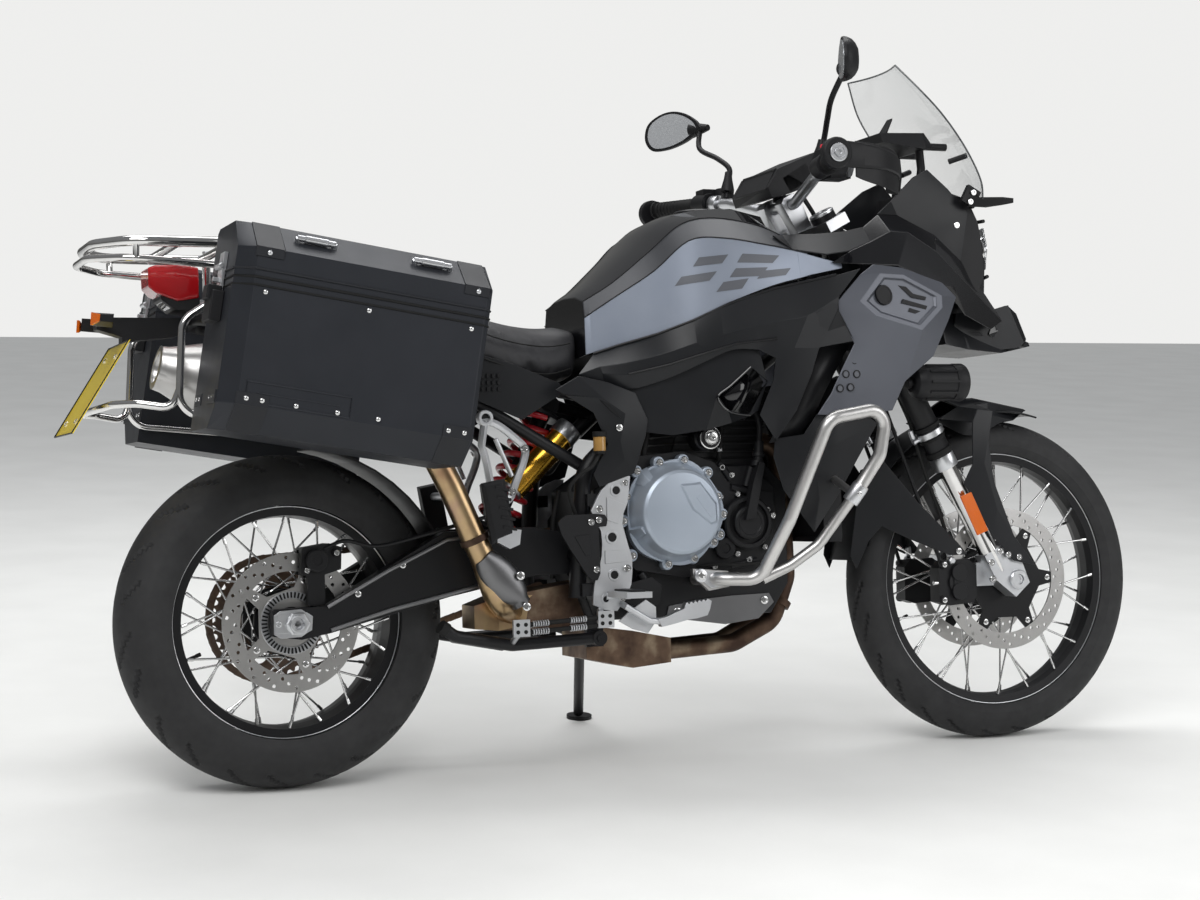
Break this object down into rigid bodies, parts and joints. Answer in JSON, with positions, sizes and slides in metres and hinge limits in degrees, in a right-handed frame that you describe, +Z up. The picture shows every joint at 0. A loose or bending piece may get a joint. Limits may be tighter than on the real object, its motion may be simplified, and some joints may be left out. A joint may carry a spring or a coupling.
{
  "type": "adventure motorcycle",
  "caption": "Tall touring motorcycle with wire wheels, side cases, rear rack, crash bars and screen, leaning on its side stand.",
  "frame": {"origin": "on the ground, under the middle of the machine's box as it leans on its side stand", "axes": "+X forward along the wheels, +Y to the left, towards which it leans, +Z up"},
  "size_m": [2.3465, 1.0608, 1.4758],
  "materials": {
    "alloy": "satin cast aluminium",
    "bar_steel": "satin stainless steel",
    "black_alloy": "satin black coat",
    "case_black": "matt dark coated aluminium",
    "chain_steel": "oiled steel",
    "clear_screen": "clear",
    "cover_grey": "pale blue grey satin paint",
    "disc_steel": "ground steel with a worn sweep",
    "engine_black": "satin black engine paint",
    "exhaust_steel": "brushed stainless steel",
    "frame_black": "satin black powder coat",
    "gold_alloy": "gold anodised",
    "grip_rubber": "ribbed rubber",
    "heat_bronze": "heat tinted stainless steel",
    "lamp_glass": "clear over black",
    "lamp_red": "red lens",
    "panel_black": "matt moulded plastic",
    "panel_gloss": "gloss black",
    "panel_grey": "satin grey paint",
    "plate_yellow": "bare yellow plate",
    "rack_steel": "polished stainless steel",
    "seat_cover": "matt grained seat cover",
    "spoke_steel": "bright drawn wire",
    "tank_paint": "gloss black with matt grey sides",
    "tyre_rubber": "matt moulded rubber"
  },
  "bodies": {
    "chassis": {"beak": "panel_gloss", "clutch_cover": "cover_grey", "cowls": "panel_grey", "crash_bars": "bar_steel", "drive_chain": "chain_steel", "engine_block": "engine_black", "engine_covers": "engine_black", "exhaust_heat_shield": "alloy", "exhaust_pipes": "heat_bronze", "fog_lamps": "panel_black", "foot_controls": "frame_black", "footrests": "alloy", "fuel_tank": "tank_paint", "headlight": "lamp_glass", "instrument_hood": "panel_black", "luggage_rack": "rack_steel", "main_frame": "frame_black", "number_plate": "plate_yellow", "pannier_carriers": "rack_steel", "pannier_cases": "case_black", "plate_holder": "panel_black", "radiator": "engine_black", "rear_axle": "alloy", "rear_caliper": "engine_black", "rear_hugger": "panel_black", "rear_shock": "gold_alloy", "rear_subframe": "frame_black", "seat": "seat_cover", "side_covers": "panel_black", "side_fairings": "panel_black", "silencer": "exhaust_steel", "swing_arm": "frame_black", "tail_light": "lamp_red", "windscreen": "clear_screen"},
    "front_wheel": {"front_discs": "disc_steel", "front_hub": "black_alloy", "front_rim": "black_alloy", "front_spokes": "spoke_steel", "front_tyre": "tyre_rubber"},
    "rear_wheel": {"rear_disc": "disc_steel", "rear_hub": "black_alloy", "rear_rim": "black_alloy", "rear_spokes": "spoke_steel", "rear_sprocket": "chain_steel", "rear_tyre": "tyre_rubber"},
    "steering": {"display": "panel_black", "fork_legs": "alloy", "fork_tubes": "black_alloy", "front_axle": "alloy", "front_calipers": "engine_black", "front_fender": "panel_black", "grips": "grip_rubber", "hand_guards": "panel_black", "handlebar": "alloy", "mirrors": "panel_black", "triple_clamps": "alloy"},
    "side_stand": {"side_stand": "frame_black"},
    "centre_stand": {"centre_stand": "frame_black"},
    "pannier_lid_right": {"pannier_lid_right": "case_black"},
    "pannier_lid_left": {"pannier_lid_left": "case_black"}
  },
  "joints": [
    {"name": "steering", "type": "hinge", "parent": "chassis", "child": "steering", "pos_m": [0.44688, -0.01265, 0.94121], "axis": [-0.4695, 0.1249, 0.8741], "range_deg": [-36, 36]},
    {"name": "front_wheel_spin", "type": "hinge", "parent": "steering", "child": "front_wheel", "pos_m": [0.826, -0.09786, 0.34476], "axis": [0, 0.9899, -0.1414], "continuous": true},
    {"name": "rear_wheel_spin", "type": "hinge", "parent": "chassis", "child": "rear_wheel", "pos_m": [-0.767, -0.1016, 0.31853], "axis": [0, 0.9899, -0.1414], "continuous": true},
    {"name": "side_stand_fold", "type": "hinge", "parent": "chassis", "child": "side_stand", "pos_m": [-0.077, 0.06145, 0.24372], "axis": [0.1743, 0.7402, 0.6494], "range_deg": [0, 100]},
    {"name": "centre_stand_swing", "type": "hinge", "parent": "chassis", "child": "centre_stand", "pos_m": [-0.167, -0.1091, 0.26606], "axis": [0, -0.9899, 0.1414], "range_deg": [0, 95]},
    {"name": "pannier_lid_right_hinge", "type": "hinge", "parent": "chassis", "child": "pannier_lid_right", "pos_m": [-0.48513, -0.39043, 0.91304], "axis": [0, 0.9899, -0.1414], "range_deg": [0, 80]},
    {"name": "pannier_lid_left_hinge", "type": "hinge", "parent": "chassis", "child": "pannier_lid_left", "pos_m": [-0.48513, 0.34213, 0.80839], "axis": [0, 0.9899, -0.1414], "range_deg": [0, 80]}
  ]
}
